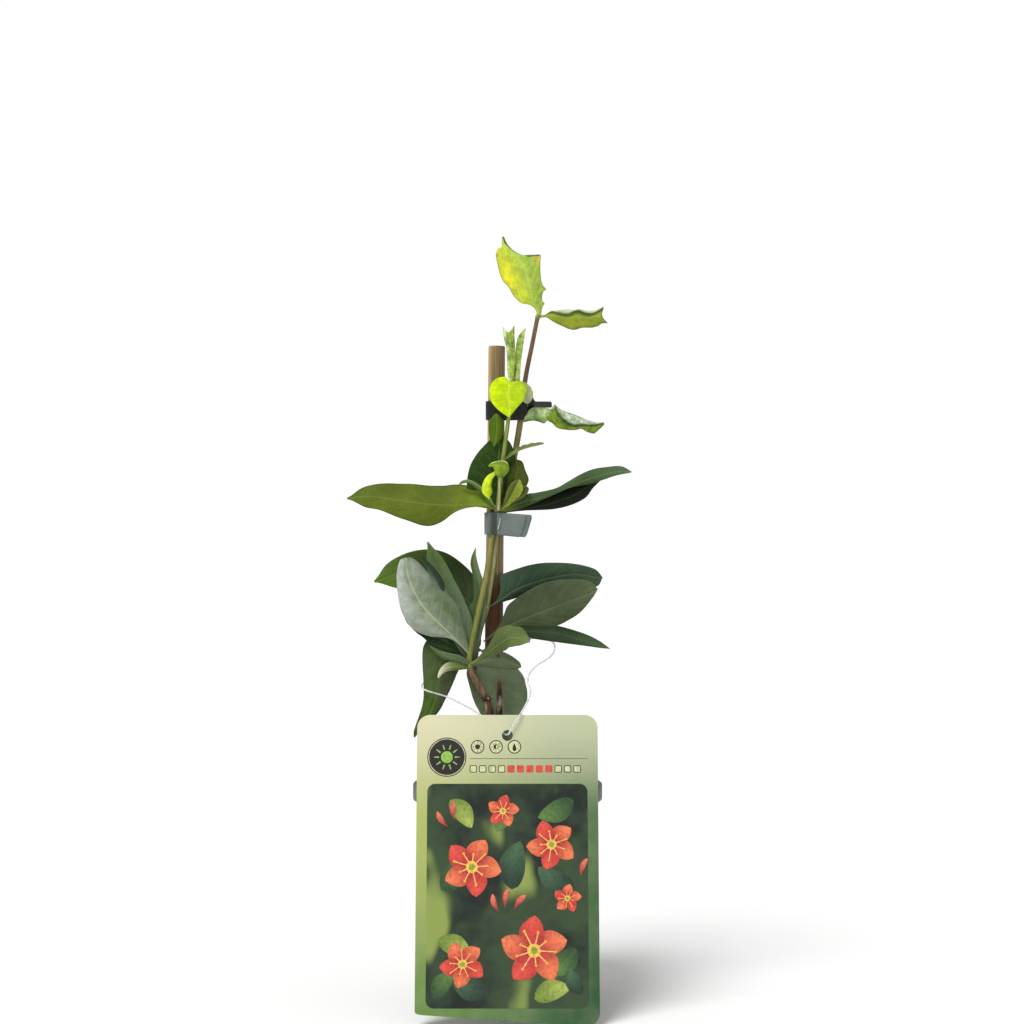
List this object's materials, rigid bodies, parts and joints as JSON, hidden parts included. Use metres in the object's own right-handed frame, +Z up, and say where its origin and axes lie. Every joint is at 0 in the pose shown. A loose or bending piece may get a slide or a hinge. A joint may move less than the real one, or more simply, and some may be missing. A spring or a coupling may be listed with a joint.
{
  "type": "potted climbing honeysuckle",
  "caption": "Young climbing honeysuckle in a round nursery pot, tied to a bamboo cane with stapled tapes, with a picture label leaning on the pot.",
  "frame": {"origin": "middle of the pot's underside, on the ground", "axes": "+Z up along the plant, -Y to the front where the label leans on the pot, +X to the right as seen from the front"},
  "size_m": [0.1341, 0.1122, 0.3597],
  "materials": {
    "pot_plastic": "satin dark grey",
    "soil": "loose, rough",
    "bamboo": "satin",
    "bark": "rough",
    "leaf_middle": "satin leaf",
    "leaf_dark": "satin leaf",
    "leaf_young": "satin leaf",
    "tape_vinyl": "satin",
    "staple_wire": "bright wire",
    "label_card": "printed, semi-gloss",
    "clear_nylon": "clear"
  },
  "bodies": {
    "root": {"nursery_pot": "pot_plastic", "potting_soil": "soil", "bamboo_cane": "bamboo", "woody_base": "bark", "front_leafy_stem": "leaf_middle", "rear_leafy_stem": "leaf_dark", "centre_shoot": "leaf_young", "lower_tape": "tape_vinyl", "upper_tape": "tape_vinyl", "lower_staple": "staple_wire", "upper_staple": "staple_wire", "hanging_label": "label_card", "label_thread": "clear_nylon"}
  },
  "joints": []
}
